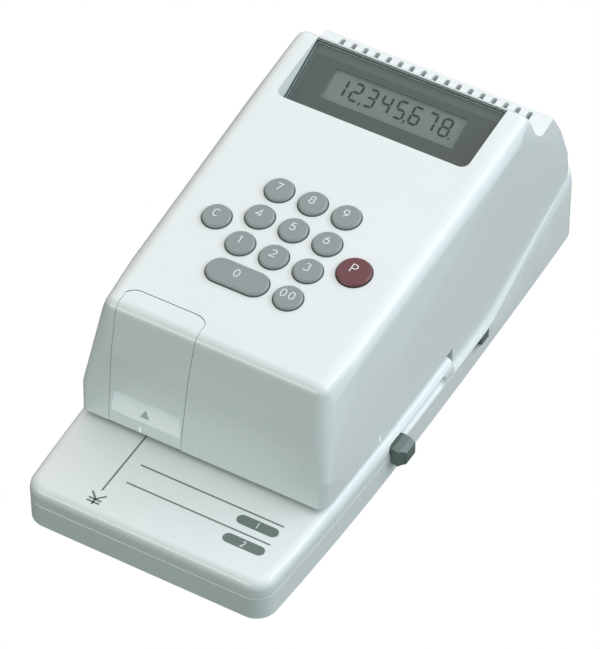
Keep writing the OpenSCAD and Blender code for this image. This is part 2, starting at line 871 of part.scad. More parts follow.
module wheel_gear() {
    color(brassy) placed() translate([gear_x - 2, wheel_y, wheel_z])
        rotate([90, 0, 90])
            linear_extrude(4) gear2d(24, gear_m, 2.5, 40);
}

module idler_gear() {
    color(white) placed() translate([gear_x - 2, idler_y, idler_z])
        rotate([90, 0, 90])
            linear_extrude(4)
                gear2d(20, gear_m, 2 + run_gap, 40 + 180 + 9);
}

module motor_pinion() {
    color(brassy) placed() translate([gear_x - 2.5, pin_y, pin_z])
        rotate([90, 0, 90])
            linear_extrude(5) gear2d(10, gear_m, 1, 184);
    color(steel) placed()
        bar_x(gear_x - 3, frame_xr + 4, pin_y, pin_z, 1);
}

module wheel_motor() {
    color(steel) placed() difference() {
        union() {
            bar_x(frame_xr + 0.85, frame_xr + 29, pin_y, pin_z, 12);
            bar_x(frame_xr + 29 - e, frame_xr + 31, pin_y, pin_z, 4);
        }
        bar_x(frame_xr, frame_xr + 4.3, pin_y, pin_z, 1 + run_gap);
    }
    color(brassy) placed()
        for (s = [-1, 1])
            block([frame_xr + 29 - e, pin_y - 1 + s * 8, pin_z - 0.4],
                [frame_xr + 33, pin_y + 1 + s * 8, pin_z + 0.4]);
}

module ink_roller() {
    color(rubber) placed() difference() {
        bar_x(wheel_x - 6, wheel_x + 6, ink_y, ink_z, ink_r);
        bar_x(wheel_x - 7, wheel_x + 7, ink_y, ink_z, 1.5);
    }
    color(steel) placed() bar_x(wheel_x - 9.5, wheel_x + 9.5, ink_y, ink_z, 1.5);
}

module ink_cassette() {
    color(dark) placed() difference() {
        union() {
            for (x = [wheel_x - 8.8, wheel_x + 6.8])
                side_prism([[ink_y - 3, ink_z - 2.5], [ink_y - 3, ink_z + 2],
                    [rod_y - 5, rod_z + 2], [rod_y - 2, rod_z + 3.6],
                    [rod_y + 3, rod_z + 3], [rod_y + 3, rod_z - 3],
                    [ink_y + 3, ink_z - 2.5]], x, x + 2);
            side_prism([[rod_y - 5, rod_z - 1.2], [rod_y - 5, rod_z + 2],
                [rod_y - 2, rod_z + 3.6], [rod_y + 3, rod_z + 3],
                [rod_y + 3, rod_z - 1.2]], wheel_x - 8.8, wheel_x + 8.8);
        }
        bar_x(wheel_x - 20, wheel_x + 20, ink_y, ink_z, 1.5 + run_gap);
        bar_x(wheel_x - 20, wheel_x + 20, rod_y, rod_z, 1.5);
    }
}

module cassette_rod() {
    color(steel) placed()
        bar_x(frame_xl - 1.5, frame_xr + 1.5, rod_y, rod_z, 1.5);
}

module feed_roller() {
    color(rubber) placed() difference() {
        bar_y(feed_x, wheel_y - 7, wheel_y + 7, feed_z, feed_r);
        bar_y(feed_x, wheel_y - 8, wheel_y + 8, feed_z, 1.5);
    }
    color(steel) placed() bar_y(feed_x, 62, 101.2, feed_z, 1.5);
}

module feed_gear() {
    color(white) placed() translate([feed_x, 95.5, feed_z]) rotate([90, 0, 0])
        linear_extrude(3) gear2d(14, 0.8, 1.5, 0);
}

module feed_bracket() {
    color(steel) placed() difference() {
        union() {
            block([feed_x - 8, 64, floor_z + 0.1], [feed_x + 19, 101, floor_z + 1.4]);
            block([feed_x - 8, 64, floor_z + 0.1], [feed_x + 8, 65.4, feed_z + 4]);
            block([feed_x - 8, 99.6, floor_z + 0.1], [feed_x + 19, 101, feed_z + 4]);
        }
        bar_y(feed_x, 60, 110, feed_z, 1.5 + run_gap);
        bar_y(feed_x + 9.3, 90, 110, feed_z, 1.8);
    }
}

module feed_pinion() {
    color(brassy) placed() translate([feed_x + 9.3, 95.8, feed_z])
        rotate([90, 0, 0]) linear_extrude(3.6) gear2d(9, 0.8, 0.8, 180 + 20);
    color(steel) placed() bar_y(feed_x + 9.3, 91.5, 104, feed_z, 0.8);
}

module feed_motor() {
    color(steel) placed() difference() {
        intersection() {
            bar_y(feed_x + 9.3, 101.1, 124, feed_z, 7.5);
            block([0, 90, feed_z - 6], [80, 130, feed_z + 6]);
        }
        bar_y(feed_x + 9.3, 100, 104.2, feed_z, 0.8 + run_gap);
    }
}

module pressure_roller() {
    color(rubber) placed() difference() {
        bar_y(feed_x, wheel_y - 7, wheel_y + 7, press_z, press_r);
        bar_y(feed_x, wheel_y - 8, wheel_y + 8, press_z, 1.5);
    }
    color(steel) placed()
        bar_y(feed_x, wheel_y - 10.8, wheel_y + 10.8, press_z, 1.5);
}

module pressure_bracket() {
    z0 = throat_z + plate_t;
    color(steel) placed() difference() {
        union() {
            for (y = [wheel_y - 10.2, wheel_y + 8.8])
                block([feed_x - 10, y, z0], [feed_x + 10, y + 1.4, z0 + 12]);
            block([feed_x - 10, wheel_y - 10.2, z0 + 10.6],
                [feed_x + 10, wheel_y + 10.2, z0 + 12]);
        }
        bar_y(feed_x, 60, 100, press_z, 1.5 + run_gap);
    }
}

module platen_pad() {
    color(rubber) placed()
        block([wheel_x - 5, wheel_y - 6, 18.5], [wheel_x + 5, wheel_y + 6, table_z - 0.3]);
}

module platen_lever() {
    color(steel) placed() difference() {
        union() {
            block([wheel_x - 4.6, wheel_y - 7, 17], [wheel_x + 4.6, plat_y, 18.5]);
            bar_x(wheel_x - 4.6, wheel_x + 4.6, plat_y, plat_z, 3);
            block([wheel_x - 4.6, plat_y - 3, plat_z], [wheel_x + 4.6, plat_y, 18.5]);
        }
        bar_x(wheel_x - 9, wheel_x + 9, plat_y, plat_z, 1.2 + run_gap);
    }
}

module platen_bracket() {
    color(steel) placed() {
        block([wheel_x - 6.6, 105, floor_z + 0.1], [wheel_x + 6.6, 118, floor_z + 1.4]);
        for (x = [wheel_x - 6.6, wheel_x + 5.2])
            block([x, 108, floor_z + 0.1], [x + 1.4, 116, plat_z + 3.5]);
        bar_x(wheel_x - 6.6, wheel_x + 6.6, plat_y, plat_z, 1.2);
    }
}

module platen_solenoid() {
    color(brassy) placed() {
        block([wheel_x - 6, 82, floor_z + 0.1], [wheel_x + 6, 96, 14]);
        translate([wheel_x, 89, 14 - e]) cylinder(h = 2.75, r = 2.5, $fn = 48);
    }
}

module guide_lever() {
    y0 = channel_y + 1.2;
    y1 = y0 + 10.8;
    color(dark) placed() {
        // grip: the top falls outwards, the front corner is hollowed for a finger
        difference() {
            translate([0, y1, 0]) rotate([90, 0, 0]) linear_extrude(y1 - y0)
                offset(r = 0.8, $fn = 24) offset(delta = -0.8)
                    polygon([[channel_x - 2.2, channel_z - 1.3],
                        [wm + 0.6, channel_z - 1.3], [wm + 0.6, 11.8],
                        [grip_x, 11.4], [grip_x, channel_z - 1],
                        [grip_x - 2.4, channel_z + 1], [wm + 1, channel_z + 1.9],
                        [channel_x - 2.2, channel_z + 1.5]]);
            translate([grip_x + 3.4, y0 - 2.2, 0])
                cylinder(h = 40, r = 6.4, $fn = 64);
        }
        // stem through the slit and the carriage under the table
        block([wm - 13, y0 + 4, channel_z - 0.6],
            [channel_x - 1.4, y1 - 1.6, channel_z + 0.6]);
        block([wm - 17.5, y0 + 3, 16.6], [wm - 12.9, stop_y + 2.6, channel_z + 0.6]);
    }
}

module paper_stop() {
    color(dark) placed() {
        block([8.5 - wm, stop_y, table_z + 0.3],
            [wm - 8.5, stop_y + 2.6, throat_z - 0.4]);
        for (x = [13.5 - wm, wm - 13.5])
            block([x - 1, stop_y, channel_z + 0.6 - (x < 0 ? 2 : 0)],
                [x + 1, stop_y + 2.6, table_z + 0.4]);
        block([9.5 - wm, stop_y - 1, table_z - wall - 2.4],
            [17.5 - wm, stop_y + 3.6, table_z - wall - 0.3]);
    }
}

module power_knob() {
    color(dark) placed() {
        block([sw_x + 1.5, 187.2, 9.8], [sw_x + 4.9, 193.2, 14.7]);
        block([sw_x - 2, 188.2, 10.6], [sw_x + 1.6, 192.2, 13.9]);
    }
}

module switch_body() {
    color(dark) placed() difference() {
        block([sw_x - 10.1, 176, 7.2], [sw_x, 196, 17.2]);
        block([sw_x - 2.3, 178.2, 10.3], [sw_x + 4, 194, 14.2]);
    }
}

module battery_tray() {
    z1 = cell_z + cell_d / 2 + 1.2;
    color(dark) placed() difference() {
        block([-bat_x - 1.8, bat_y0 - 1.8, floor_z + 0.05],
            [bat_x + 1.8, bat_y1 + 1.8, z1 + 1.6]);
        block([-bat_x, bat_y0, 0], [bat_x, bat_y1, z1]);
    }
}

module battery_cells() {
    color(brassy) placed() for (i = [0 : cell_n - 1]) {
        x = (i - (cell_n - 1) / 2) * 15.6;
        y0 = (bat_y0 + bat_y1) / 2 - cell_l / 2;
        bar_y(x, y0, y0 + cell_l - 1, cell_z, cell_d / 2);
        bar_y(x, y0 + cell_l - 1 - e, y0 + cell_l, cell_z, 2.7);
    }
}

module battery_contacts() {
    y0 = (bat_y0 + bat_y1) / 2 - cell_l / 2;
    color(steel) placed() for (i = [0 : cell_n - 1]) {
        x = (i - (cell_n - 1) / 2) * 15.6;
        block([x - 5, bat_y0 + 0.05, cell_z - 5], [x + 5, bat_y0 + 0.5, cell_z + 5]);
        block([x - 5, bat_y1 - 0.5, cell_z - 5], [x + 5, bat_y1 - 0.05, cell_z + 5]);
        translate([x, bat_y0 + 0.5 - e, cell_z]) rotate([-90, 0, 0])
            cylinder(h = y0 - bat_y0 - 0.55, r1 = 4, r2 = 2.4, $fn = 48);
        bar_y(x, y0 + cell_l + 0.05, bat_y1 - 0.5 + e, cell_z, 3);
    }
}

module battery_door() {
    hy = bat_y0 + 1.6;
    hz = base_z + 1.25;
    color(white) placed() {
        block([-bat_x + 0.25, hy, base_z], [bat_x - 0.25, bat_y1 - 0.25, base_z + wall]);
        bar_x(-bat_x + 0.25, bat_x - 0.25, hy, hz, 1.25);
        for (x = [-12, 0, 12])
            block([x - 4, bat_y1 - 9, base_z - 0.5], [x + 4, bat_y1 - 7.6, base_z + e]);
    }
}

module dc_jack() {
    color(dark) placed() difference() {
        block([-44, back_y, 14], [-32, body_l - side_ledge - wall - 0.4, 26]);
        bar_y(-38, back_y + 3, body_l + 17, 20, 3.2);
    }
    color(steel) placed() bar_y(-38, back_y + 2.9, back_y + 11, 20, 1);
}

module feet() {
    color(rubber) placed() for (p = foot_at)
        translate([p[0], p[1], 0])
            cylinder(h = base_z + 0.6, r = 6.3, $fn = 64);
}

module screw(h, r, head_r, head_h) {
    difference() {
        cylinder(h = head_h, r = head_r, $fn = 32);
        for (a = [0, 90])
            rotate(a) translate([-head_r * 0.7, -0.4, -1])
                cube([head_r * 1.4, 0.8, 1 + head_h * 0.5]);
    }
    translate([0, 0, head_h - e]) cylinder(h = h, r = r, $fn = 32);
}

module case_screws() {
    color(steel) placed() {
        case_screw_spots() translate([0, 0, base_z + 0.1]) screw(26, 1.3, 3, 1.5);
        table_screw_spots() translate([0, 0, base_z + 0.1]) screw(16, 1.3, 3, 1.5);
    }
}

module plate_screws() {
    color(steel) placed() {
        plate_screw_spots() translate([0, 0, throat_z + 0.1])
            screw(8, 1.1, 2.4, 1.1);
        on_keys() for (s = [-1, 1])
            for (u = [-15, 76])
                translate([s * 45, u, board_w - board_t - 1.2])
                    screw(6, 1.1, 2.2, 1.2);
    }
}

lower_case();
paper_table();
upper_case();
ink_door();
door_pins();
display_window();
lcd_bezel();
lcd_glass();
display_board();
main_board();
key_mat();
key_0();
key_00();
key_1();
key_2();
key_3();
key_4();
key_5();
key_6();
key_7();
key_8();
key_9();
key_clear();
key_print();
throat_plate();
frame_left();
frame_right();
wheel_shaft();
type_wheel();
wheel_gear();
idler_gear();
motor_pinion();
wheel_motor();
ink_roller();
ink_cassette();
cassette_rod();
feed_roller();
feed_gear();
feed_bracket();
feed_motor();
feed_pinion();
pressure_roller();
pressure_bracket();
platen_pad();
platen_lever();
platen_bracket();
platen_solenoid();
guide_lever();
paper_stop();
power_knob();
switch_body();
battery_tray();
battery_cells();
battery_contacts();
battery_door();
dc_jack();
feet();
case_screws();
plate_screws();
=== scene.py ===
import bpy
import math
from mathutils import Matrix, Vector


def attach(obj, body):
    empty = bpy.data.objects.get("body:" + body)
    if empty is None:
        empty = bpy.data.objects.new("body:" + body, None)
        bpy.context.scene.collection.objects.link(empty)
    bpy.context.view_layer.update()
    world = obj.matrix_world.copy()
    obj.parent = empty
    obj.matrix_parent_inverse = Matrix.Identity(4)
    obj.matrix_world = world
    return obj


# %% [markdown]
# A desk check writer: a white moulded casing with a flat paper table at the front, an overhanging
# head with a sloping keypad, a smoked window over a liquid crystal display and a vented deck behind
# it. The solids could be modelled again here, but they already stand in the frame with their joints,
# so this script gives them their finishes and adds the thin things that are printed on them.

# %% Load the frame
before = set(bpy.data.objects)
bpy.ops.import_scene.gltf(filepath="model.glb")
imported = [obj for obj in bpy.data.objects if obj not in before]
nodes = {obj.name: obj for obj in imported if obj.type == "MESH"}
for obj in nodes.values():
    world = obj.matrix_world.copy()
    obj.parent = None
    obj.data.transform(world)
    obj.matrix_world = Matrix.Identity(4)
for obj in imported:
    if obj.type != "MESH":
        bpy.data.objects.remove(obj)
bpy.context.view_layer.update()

# %% [markdown]
# Finishes. A material could be one flat colour, but a real surface has a grain and drifts a little
# in shade, so each finish is a small tree of shader nodes. Colours are written as sRGB hex values,
# which compare easily with a photograph, and one function turns them to linear light. One helper
# adds a node with its settings and links. Sizes are millimetres until they reach a node or a point.

# %% Helpers for materials
MM = 0.001


def linear(hex_colour):
    """sRGB hex to linear RGBA."""
    values = [int(hex_colour[i:i + 2], 16) / 255 for i in (1, 3, 5)]
    return tuple(v / 12.92 if v <= 0.04045 else ((v + 0.055) / 1.055) ** 2.4 for v in values) + (1.0,)


def add(tree, kind, links=None, values=None, **settings):
    """Adds a node: links maps a socket to (node, output), values maps a socket to what it holds."""
    node = tree.nodes.new(kind)
    for setting, value in settings.items():
        setattr(node, setting, value)
    for socket, value in (values or {}).items():
        node.inputs[socket].default_value = value
    for socket, (other, output) in (links or {}).items():
        tree.links.new(other.outputs[output], node.inputs[socket])
    return node


def new_material(name):
    """A material with an empty node tree, and that tree."""
    mat = bpy.data.materials.new(name)
    mat.use_nodes = True
    mat.node_tree.nodes.clear()
    return mat, mat.node_tree


print("half grey in linear light", round(linear("#808080")[0], 3))

# %% [markdown]
# Moulded plastic. The steel tool of such a casing is spark eroded, which leaves an even grain about
# 0.3 mm across and a few hundredths of a millimetre deep. A picture of it could be wrapped round the
# parts, but a noise that is tied to the object needs no unwrapping and has its size in millimetres.
# The fine noise drives bump and roughness. A wide one drifts the shade, as handling and age do.
#
# Where the table meets the tub, the tub's top edge is rounded and catches the light in a fine line.
# In the solids the two meet in a gap of 0.05 mm, which is too fine to show, so the tub's bump is
# drawn as a rounding 0.6 mm high, as coarse as it needs to show.

# %% A moulded plastic
GRAIN_BUMP, GRAIN_OCTAVES = 0.35, 2.0
DRIFT, DRIFT_OCTAVES = 40.0, 3.0
SHEEN_SPREAD = 0.05
# Colour of the light that two marks give off, as painted highlight and painted reflection
PAINTED_LIGHT_COLOUR = "#F4FFFC"


def rounded_lip(t, at, bump, low, high, back_end):
    """Adds a rounding to a bump, from z low to z high and ahead of y back_end (mm)."""
    axes = add(t, "ShaderNodeSeparateXYZ", {"Vector": (at, "Object")})
    slope = add(t, "ShaderNodeMapRange", {"Value": (axes, "Z")},
                {"From Min": low * MM, "From Max": high * MM, "To Min": 1.0, "To Max": 0.0})
    ahead = add(t, "ShaderNodeMath", {0: (axes, "Y")}, {1: back_end * MM}, operation="LESS_THAN")
    edge = add(t, "ShaderNodeMath", {0: (slope, "Result"), 1: (ahead, "Value")}, operation="MULTIPLY")
    return add(t, "ShaderNodeBump", {"Height": (edge, "Value"), "Normal": (bump, "Normal")},
               {"Strength": 1.0, "Distance": (high - low) * MM})


def moulded(name, colour, roughness, grain=0.3, depth=0.02, shade=0.03, ior=1.53, lip=None, painted_glow=0.0):
    """A plastic or ink; grain and depth are mm, shade is the share that the tone drifts by."""
    mat, t = new_material(name)
    at = add(t, "ShaderNodeTexCoord")
    fine = add(t, "ShaderNodeTexNoise", {"Vector": (at, "Object")},
               {"Scale": 1 / (grain * MM), "Detail": GRAIN_OCTAVES})
    wide = add(t, "ShaderNodeTexNoise", {"Vector": (at, "Object")},
               {"Scale": 1 / (DRIFT * MM), "Detail": DRIFT_OCTAVES})
    bump = add(t, "ShaderNodeBump", {"Height": (fine, "Fac")},
               {"Strength": GRAIN_BUMP, "Distance": depth * MM})
    if lip:
        bump = rounded_lip(t, at, bump, *lip)
    tone = add(t, "ShaderNodeMapRange", {"Value": (wide, "Fac")}, {"To Min": 1 - shade, "To Max": 1 + shade})
    tint = add(t, "ShaderNodeVectorMath", {"Scale": (tone, "Result")}, {0: linear(colour)[:3]},
               operation="SCALE")
    rough = add(t, "ShaderNodeMapRange", {"Value": (fine, "Fac")},
                {"To Min": roughness - SHEEN_SPREAD, "To Max": roughness + SHEEN_SPREAD})
    sockets = {"IOR": ior}
    # Light given off by a mark paints a highlight on the ticks and a reflection on the grip label; the mark
    # is no lamp
    if painted_glow:
        sockets.update({"Emission Color": linear(PAINTED_LIGHT_COLOUR), "Emission Strength": painted_glow})
    skin = add(t, "ShaderNodeBsdfPrincipled", {"Normal": (bump, "Normal"), "Base Color": (tint, "Vector"),
                                               "Roughness": (rough, "Result")}, sockets)
    add(t, "ShaderNodeOutputMaterial", {"Surface": (skin, "BSDF")})
    return mat


print("grain noise repeats per metre", round(1 / (0.3 * MM)))

# %% [markdown]
# The plastics of this machine. ABS is the usual plastic of a casing: cool white here, with a silky
# sheen. The keys have a finer grain and a softer sheen, so that fingers leave few marks. Acetal is
# a slippery, slightly waxy white for gears. Rubber and silicone are dull, because they grip. The
# solder mask on a board is a glossy lacquer, and a shrink sleeve is a tight, shiny film.

# %% Plastics, rubber and board
BODY_L = 283.0
FRONT_Y = -BODY_L / 2
PARTING_Z, LIP_H, RISE_Y = 16.4, 0.6, 198.0
LIP = (PARTING_Z - LIP_H, PARTING_Z, FRONT_Y + RISE_Y)
WHITE, CASING_SHEEN = "#E9EEEC", 0.27
abs_white = moulded("spark_eroded_white_abs", WHITE, CASING_SHEEN)
abs_tub = moulded("spark_eroded_white_abs_with_lip", WHITE, CASING_SHEEN, lip=LIP)
abs_key = moulded("moulded_grey_abs_keys", "#8E9896", 0.4, grain=0.2)
abs_maroon = moulded("moulded_maroon_abs_key", "#6B3A3E", 0.4, grain=0.2)
abs_dark = moulded("moulded_grey_green_abs", "#6A7771", 0.42)
abs_inner = moulded("moulded_black_abs", "#2B2F2E", 0.5)
acetal = moulded("machined_natural_acetal", "#E4E1D5", 0.35, grain=0.5, ior=1.48)
rubber = moulded("cured_black_rubber", "#1E1F1F", 0.75, grain=0.4, depth=0.03, ior=1.52)
silicone = moulded("moulded_silicone_sheet", "#B9BBB6", 0.6, ior=1.41)
board = moulded("solder_mask_on_epoxy_board", "#1E4A30", 0.3, grain=1.2, ior=1.5)
sleeve = moulded("shrink_sleeve_on_cells", "#4B5664", 0.3, grain=2.0)
print("lip from z", round(LIP[0], 1), "to", LIP[1], "ahead of y", LIP[2])

# %% [markdown]
# The metals inside are zinc plated steel sheet and turned brass. Rolling and turning leave long fine
# lines. They could be cut into the mesh, but they are only a hundredth of a millimetre deep, so a
# noise 6 mm long and a twelfth of that wide stands for them in roughness and bump. A metal keeps the
# default IOR, because its base colour already says what it reflects.

# %% Metals
LINE_L, LINE_STRETCH, LINE_OCTAVES = 6.0, 12.0, 4.0
LINE_BUMP, LINE_DEPTH = 0.2, 0.01
METAL_SPREAD = 0.1


def rolled(name, colour, roughness):
    """A metal with long fine lines along X."""
    mat, t = new_material(name)
    at = add(t, "ShaderNodeTexCoord")
    along = add(t, "ShaderNodeMapping", {"Vector": (at, "Object")},
                {"Scale": (1.0, LINE_STRETCH, LINE_STRETCH)})
    lines = add(t, "ShaderNodeTexNoise", {"Vector": (along, "Vector")},
                {"Scale": 1 / (LINE_L * MM), "Detail": LINE_OCTAVES})
    rough = add(t, "ShaderNodeMapRange", {"Value": (lines, "Fac")},
                {"To Min": roughness - METAL_SPREAD, "To Max": roughness + METAL_SPREAD})
    bump = add(t, "ShaderNodeBump", {"Height": (lines, "Fac")},
               {"Strength": LINE_BUMP, "Distance": LINE_DEPTH * MM})
    metal = add(t, "ShaderNodeBsdfPrincipled", {"Normal": (bump, "Normal"), "Roughness": (rough, "Result")},
                {"Base Color": linear(colour), "Metallic": 1.0})
    add(t, "ShaderNodeOutputMaterial", {"Surface": (metal, "BSDF")})
    return mat


steel = rolled("zinc_plated_rolled_steel", "#B9BABB", 0.35)
brass = rolled("turned_brass", "#B99A55", 0.3)
print("metal lines", LINE_L, "mm long,", LINE_L / LINE_STRETCH, "mm wide")

# %% [markdown]
# The window is cast smoked acrylic. It lets light through without scattering it and reflects a
# little at its polished outer face. A glass shader would bend the light too, but through so thin a
# sheet that hardly shows, so a clear tinted shader carries a gloss whose strength is Fresnel's. The
# rim of the sheet isn't polished and looks dark, so faces that turn away from the window's own
# direction get a dull paint.

# %% The smoked window
WINDOW_TILT = 20.5
RIM_COSINE = 0.8
FRONT_BELOW = 0.5  # Backfacing is 0 on the front of a face and 1 on its back
HAZE, HAZE_OCTAVES, HAZE_ROUGH = 15.0, 2.0, (0.06, 0.14)
ACRYLIC_IOR = 1.49


def smoked(name, tint, rim, facing):
    """A clear sheet with a painted rim; facing is the direction that its face looks in."""
    mat, t = new_material(name)
    at = add(t, "ShaderNodeTexCoord")
    across = add(t, "ShaderNodeVectorMath", {0: (at, "Normal")}, {1: facing}, operation="DOT_PRODUCT")
    along = add(t, "ShaderNodeMath", {0: (across, "Value")}, operation="ABSOLUTE")
    is_rim = add(t, "ShaderNodeMath", {0: (along, "Value")}, {1: RIM_COSINE}, operation="LESS_THAN")
    paint = add(t, "ShaderNodeBsdfDiffuse", values={"Color": linear(rim)})
    haze = add(t, "ShaderNodeTexNoise", {"Vector": (at, "Object")},
               {"Scale": 1 / (HAZE * MM), "Detail": HAZE_OCTAVES})
    rough = add(t, "ShaderNodeMapRange", {"Value": (haze, "Fac")},
                {"To Min": HAZE_ROUGH[0], "To Max": HAZE_ROUGH[1]})
    clear = add(t, "ShaderNodeBsdfTransparent", values={"Color": linear(tint)})
    shine = add(t, "ShaderNodeBsdfGlossy", {"Roughness": (rough, "Result")}, {"Color": linear("#FFFFFF")})
    fresnel = add(t, "ShaderNodeFresnel", values={"IOR": ACRYLIC_IOR})
    side = add(t, "ShaderNodeNewGeometry")
    front = add(t, "ShaderNodeMath", {0: (side, "Backfacing")}, {1: FRONT_BELOW}, operation="LESS_THAN")
    share = add(t, "ShaderNodeMath", {0: (fresnel, "Fac"), 1: (front, "Value")}, operation="MULTIPLY")
    sheet = add(t, "ShaderNodeMixShader", {"Fac": (share, "Value"), 1: (clear, "BSDF"), 2: (shine, "BSDF")})
    whole = add(t, "ShaderNodeMixShader",
                {"Fac": (is_rim, "Value"), 1: (sheet, "Shader"), 2: (paint, "BSDF")})
    add(t, "ShaderNodeOutputMaterial", {"Surface": (whole, "Shader")})
    return mat


WINDOW_FACING = (0.0, -math.sin(math.radians(WINDOW_TILT)), math.cos(math.radians(WINDOW_TILT)))
window_mat = smoked("cast_smoked_acrylic", "#F2F6F4", "#56625F", WINDOW_FACING)
print("window looks along", [round(v, 3) for v in WINDOW_FACING])

# %% [markdown]
# Display glass and inks. A polariser gives the display its grey, and the segments turn it dark.
# Screen and pad printing leave a film of ink that is duller than the plastic under it. The white tick on the
# door, the white glint on the right flank and the polished grip label are brighter than the casing around
# them: the tick and the glint catch a highlight, and the label reflects the table. A whiter colour alone
# can't show that on a white casing, so these two finishes give off a little light of their own, as painted
# highlight and painted reflection.

# %% Display glass and inks
lcd_mat = moulded("polarised_display_glass", "#909796", 0.3, grain=0.8, shade=0.02)
# Paler strip at the window's top and left: painted reflection of the white recess walls
window_reflection_paint = moulded("painted_reflection_on_window", "#5C6866", 0.5, shade=0.02)
mask_mat = moulded("screen_printed_window_mask", "#4A5551", 0.5, shade=0.02)
segment_ink = moulded("liquid_crystal_segment", "#1A2121", 0.35, shade=0.01)
print_ink = moulded("pad_printed_grey_green_ink", "#697872", 0.5, grain=0.4, shade=0.06)
white_ink = moulded("pad_printed_white_ink", "#E6EAE9", 0.5, grain=0.4, shade=0.04)
# White ink that gives off light: a painted highlight on the door's tick and the flank's glint
tick_ink_with_painted_highlight = moulded("white_ink_with_painted_highlight", "#FAFCFB", 0.4, grain=0.4, shade=0.01, painted_glow=0.35)
# Dark ring of painted shade, standing for the shade in the gap around each key
well_shade_ink = moulded("painted_shade_of_key_gaps", "#4A5250", 0.6, grain=0.4, shade=0.04)
# Pale grip label that gives off light: a painted reflection of the table
grip_label_reflection_paint = moulded("grip_label_with_painted_reflection", "#F8FCFB", 0.4, shade=0.01, painted_glow=0.06)
mark_ink = moulded("pad_printed_pale_grey_ink", "#B4C3BE", 0.5, shade=0.03)
print("materials", len(bpy.data.materials))

# %% [markdown]
# Every node of the frame takes the finish of what it is made of, and steel is what the rest is made
# of. The meshes could be edited, but modifiers leave them as the solids gave them: weld joins the
# points, bevel rounds the moulded edges by a few tenths of a millimetre, edge split keeps sharp
# corners sharp, and weighted normals shade the long facets of the casing as one surface.

# %% Finishes on the frame
WHITE_NODES = ["lower_case", "paper_table", "upper_case", "ink_door", "battery_door"]
DARK_NODES = ["guide_lever", "power_knob"]
KEY_NODES = [n for n in nodes if n.startswith("key_") and n != "key_mat"]
FINISH = {abs_white: WHITE_NODES[1:], abs_tub: WHITE_NODES[:1], abs_dark: DARK_NODES,
          abs_maroon: ["key_print"], abs_key: [n for n in KEY_NODES if n != "key_print"],
          abs_inner: ["paper_stop", "switch_body", "battery_tray", "dc_jack", "ink_cassette", "type_wheel"],
          rubber: ["feet", "ink_roller", "feed_roller", "pressure_roller", "platen_pad"],
          silicone: ["key_mat"], board: ["main_board", "display_board"], acetal: ["idler_gear", "feed_gear"],
          brass: ["wheel_gear", "motor_pinion", "feed_pinion", "platen_solenoid"],
          sleeve: ["battery_cells"], window_mat: ["display_window"], lcd_mat: ["lcd_glass"]}
finish_of = {n: m for m, names in FINISH.items() for n in names}
EDGE_W, EDGE_W_OF = 0.3, {"guide_lever": 0.6, "lower_case": 0.45, "paper_table": 0.45}
EDGE_STEPS, ROUNDED_FROM, SHARP_FROM = 2, 40, 30
WELD_REACH = 0.00001
for name, obj in nodes.items():
    obj.data.materials.clear()
    obj.data.materials.append(finish_of.get(name, steel))
    for poly in obj.data.polygons:
        poly.use_smooth = True
    weld = obj.modifiers.new("weld", "WELD")
    weld.merge_threshold = WELD_REACH
    if name in WHITE_NODES + KEY_NODES + DARK_NODES:
        bevel = obj.modifiers.new("soft_edges", "BEVEL")
        bevel.width = EDGE_W_OF.get(name, EDGE_W) * MM
        bevel.segments = EDGE_STEPS
        bevel.limit_method = "ANGLE"
        bevel.angle_limit = math.radians(ROUNDED_FROM)
    split = obj.modifiers.new("edges", "EDGE_SPLIT")
    split.split_angle = math.radians(SHARP_FROM)
    normals = obj.modifiers.new("normals", "WEIGHTED_NORMAL")
    normals.keep_sharp = True
print("finished nodes", len(nodes), "of them steel", sum(n not in finish_of for n in nodes))

# %% [markdown]
# Printing. Marks could be painted into a material, but a film of ink has a crisp outline from any
# distance, so each mark is a closed mesh a few hundredths of a millimetre thick. A stroke is a list
# of points. Its ribbon has a left and a right edge, and at a corner both are pushed out so far that
# the stroke keeps its width, as a mitre does.

# %% Arcs and ribbons
SAME_POINT = 1e-6
MITRE_LIMIT = 0.45


def arc(cx, cy, rx, ry, a0, a1, n=14):
    """Points on an ellipse from angle a0 to a1 (degrees)."""
    return [(cx + rx * math.cos(math.radians(a0 + (a1 - a0) * i / n)),
             cy + ry * math.sin(math.radians(a0 + (a1 - a0) * i / n))) for i in range(n + 1)]


def ribbon(points, width):
    """Left and right edge points of a stroke, and whether it closes on itself."""
    pts = [Vector(p) for p in points]
    closed = (pts[0] - pts[-1]).length < SAME_POINT
    if closed:
        pts = pts[:-1]
    left, right = [], []
    n = len(pts)
    for i, p in enumerate(pts):
        before = pts[i - 1] if (i > 0 or closed) else None
        after = pts[(i + 1) % n] if (i < n - 1 or closed) else None
        d0 = (p - before).normalized() if before is not None else (after - p).normalized()
        d1 = (after - p).normalized() if after is not None else d0
        mid = d0 + d1
        mid = mid.normalized() if mid.length > SAME_POINT else d0
        side = Vector((-mid.y, mid.x))
        reach = width / 2 / max(MITRE_LIMIT, side.dot(Vector((-d0.y, d0.x))))
        left.append(p + side * reach)
        right.append(p - side * reach)
    return left, right, closed


print("edges of a stroke 1 mm wide", ribbon([(0, 0), (5, 0)], 1.0)[:2])

# %% [markdown]
# Frames of faces. Print could be placed in the scene's own axes, but a drawing gives it on the face
# that carries it, so each face gets a frame: u runs along the width of the casing, v up the slope
# and w out of the face. The lever stands out at the right, so the middle of the casing lies half of
# that to the left of the scene's origin.

# %% Frame of a face
LEVER_PROUD = 6.5
SHIFT_X = -LEVER_PROUD / 2


def face_frame(tilt, y, z):
    """The frame of a face that rises by tilt degrees from y mm behind the front and z mm up."""
    foot = Matrix.Translation((SHIFT_X * MM, (FRONT_Y + y) * MM, z * MM))
    return foot @ Matrix.Rotation(math.radians(tilt), 4, "X")


print("casing starts at y", FRONT_Y, "and its middle is at x", SHIFT_X)

